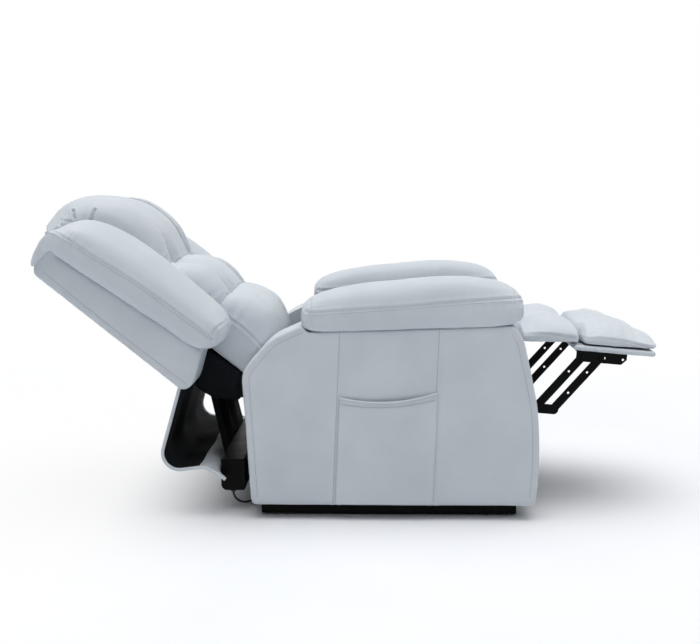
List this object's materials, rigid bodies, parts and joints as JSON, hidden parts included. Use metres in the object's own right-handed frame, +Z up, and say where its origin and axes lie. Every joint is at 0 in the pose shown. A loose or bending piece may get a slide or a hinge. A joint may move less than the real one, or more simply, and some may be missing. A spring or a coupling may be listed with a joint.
{
  "type": "lift recliner chair",
  "caption": "Padded power recliner on a tilting lift base, shown reclined with its footrest raised on scissor bars, side pockets and overstuffed arms.",
  "frame": {"origin": "on the floor, midway along the chair's length and on its centre plane", "axes": "+X forward towards the feet, +Y to the occupant's left, +Z up"},
  "size_m": [1.6862, 0.8008, 0.8513],
  "materials": {
    "upholstery": "matt pale blue-grey fine-grained covering, sewn and padded",
    "black_steel": "satin black paint on pressed and welded steel",
    "black_plastic": "moulded black, fine texture",
    "lead_rubber": "black flexible sheath",
    "bright_steel": "ground bright",
    "plywood": "raw sawn board",
    "webbing": "woven elastic strap",
    "black_cloth": "blue-black non-woven cloth"
  },
  "bodies": {
    "base": {"base_rail_left": "black_steel", "base_rail_right": "black_steel", "base_front_tube": "black_steel", "base_rear_tube": "black_steel", "base_brackets": "black_steel", "base_glides": "black_plastic"},
    "lift_arms": {"lift_arm_left": "black_steel", "lift_arm_right": "black_steel", "lift_torque_tube": "black_steel"},
    "struts": {"lift_struts": "black_steel"},
    "carriage": {"mech_plate_left": "black_steel", "mech_plate_right": "black_steel", "cross_tube_front": "black_steel", "cross_tube_rear": "black_steel", "rear_rail": "black_steel", "power_box": "black_plastic", "lead_gland": "black_plastic", "power_lead": "lead_rubber", "seat_frame": "plywood", "seat_back_cloth": "black_cloth", "seat_webbing": "webbing", "seat_cushion": "upholstery", "arm_board_left": "plywood", "arm_board_right": "plywood", "arm_cover_left": "upholstery", "arm_cover_right": "upholstery", "arm_pocket_left": "upholstery", "arm_pocket_right": "upholstery", "armrest_left": "upholstery", "armrest_right": "upholstery", "lift_actuator": "black_plastic", "recline_actuator": "black_plastic", "leg_actuator": "black_plastic"},
    "lift_rod_body": {"lift_rod": "bright_steel"},
    "recline_rod_body": {"recline_rod": "bright_steel"},
    "leg_rod_body": {"leg_rod": "bright_steel"},
    "leg_arms": {"leg_arm_left": "black_steel", "leg_arm_right": "black_steel", "leg_torque_tube": "black_steel"},
    "bars_rear": {"leg_bar_rear_left": "black_steel", "leg_bar_rear_right": "black_steel"},
    "bars_front": {"leg_bar_front_left": "black_steel", "leg_bar_front_right": "black_steel"},
    "ottoman": {"ottoman_bracket_left": "black_steel", "ottoman_bracket_right": "black_steel", "ottoman_board": "upholstery", "ottoman_pad": "upholstery"},
    "calf": {"calf_pad": "upholstery"},
    "back": {"back_frame": "plywood", "back_brackets": "black_steel", "recline_crank": "black_steel", "back_shell": "upholstery", "head_pillow": "upholstery", "mid_cushion": "upholstery", "lumbar_cushion": "upholstery", "wing_left": "upholstery", "wing_right": "upholstery", "dust_cover": "black_cloth", "inner_curtain": "black_cloth", "skirt_flap": "upholstery"}
  },
  "joints": [
    {"name": "lift", "type": "hinge", "parent": "base", "child": "lift_arms", "pos_m": [0.28017, 0, 0.075], "axis": [0, 1, 0], "range_deg": [0, 58]},
    {"name": "carriage_tilt", "type": "hinge", "parent": "lift_arms", "child": "carriage", "pos_m": [-0.05797, 0, 0.11054], "axis": [0, 1, 0], "range_deg": [-30.01, 0]},
    {"name": "strut_turn", "type": "hinge", "parent": "base", "child": "struts", "pos_m": [0.31737, 0, 0.0506], "axis": [0, 1, 0], "range_deg": [0, 65.94]},
    {"name": "recline", "type": "hinge", "parent": "carriage", "child": "back", "pos_m": [-0.21983, 0, 0.32], "axis": [0, 1, 0], "range_deg": [0, 40], "deforming": ["skirt_flap", "inner_curtain", "seat_back_cloth"]},
    {"name": "footrest", "type": "hinge", "parent": "carriage", "child": "leg_arms", "pos_m": [0.35017, 0, 0.3], "axis": [0, 1, 0], "range_deg": [0, 84]},
    {"name": "rear_bar_turn", "type": "hinge", "parent": "leg_arms", "child": "bars_rear", "pos_m": [0.51794, 0, 0.27472], "axis": [0, 1, 0], "range_deg": [-88.01, 0]},
    {"name": "front_bar_turn", "type": "hinge", "parent": "leg_arms", "child": "bars_front", "pos_m": [0.56577, 0, 0.2707], "axis": [0, 1, 0], "range_deg": [-88.01, 0]},
    {"name": "ottoman_turn", "type": "hinge", "parent": "bars_rear", "child": "ottoman", "pos_m": [0.64276, 0, 0.4153], "axis": [0, 1, 0], "range_deg": [0, 88.01]},
    {"name": "calf_turn", "type": "hinge", "parent": "carriage", "child": "calf", "pos_m": [0.47517, 0, 0.45], "axis": [0, 1, 0], "range_deg": [0, 84.01]},
    {"name": "lift_rod_slide", "type": "slide", "parent": "carriage", "child": "lift_rod_body", "axis": [1, 0, 0], "range_m": [0, 0.05897]},
    {"name": "recline_rod_slide", "type": "slide", "parent": "carriage", "child": "recline_rod_body", "axis": [1, 0, 0], "range_m": [-0.08373, 0]},
    {"name": "leg_rod_slide", "type": "slide", "parent": "carriage", "child": "leg_rod_body", "axis": [1, 0, 0], "range_m": [-0.12608, 0]}
  ],
  "couplings": [
    {"joint": "carriage_tilt", "follows": "lift", "ratio": -0.51724},
    {"joint": "strut_turn", "follows": "lift", "ratio": 1.1367},
    {"joint": "rear_bar_turn", "follows": "footrest", "ratio": -1.0476},
    {"joint": "front_bar_turn", "follows": "footrest", "ratio": -1.0476},
    {"joint": "ottoman_turn", "follows": "footrest", "ratio": 1.0476},
    {"joint": "calf_turn", "follows": "footrest", "ratio": 1},
    {"joint": "lift_rod_slide", "follows": "lift", "m_per_rad": 0.058233},
    {"joint": "recline_rod_slide", "follows": "recline", "m_per_rad": -0.11991},
    {"joint": "leg_rod_slide", "follows": "footrest", "m_per_rad": -0.085982}
  ]
}
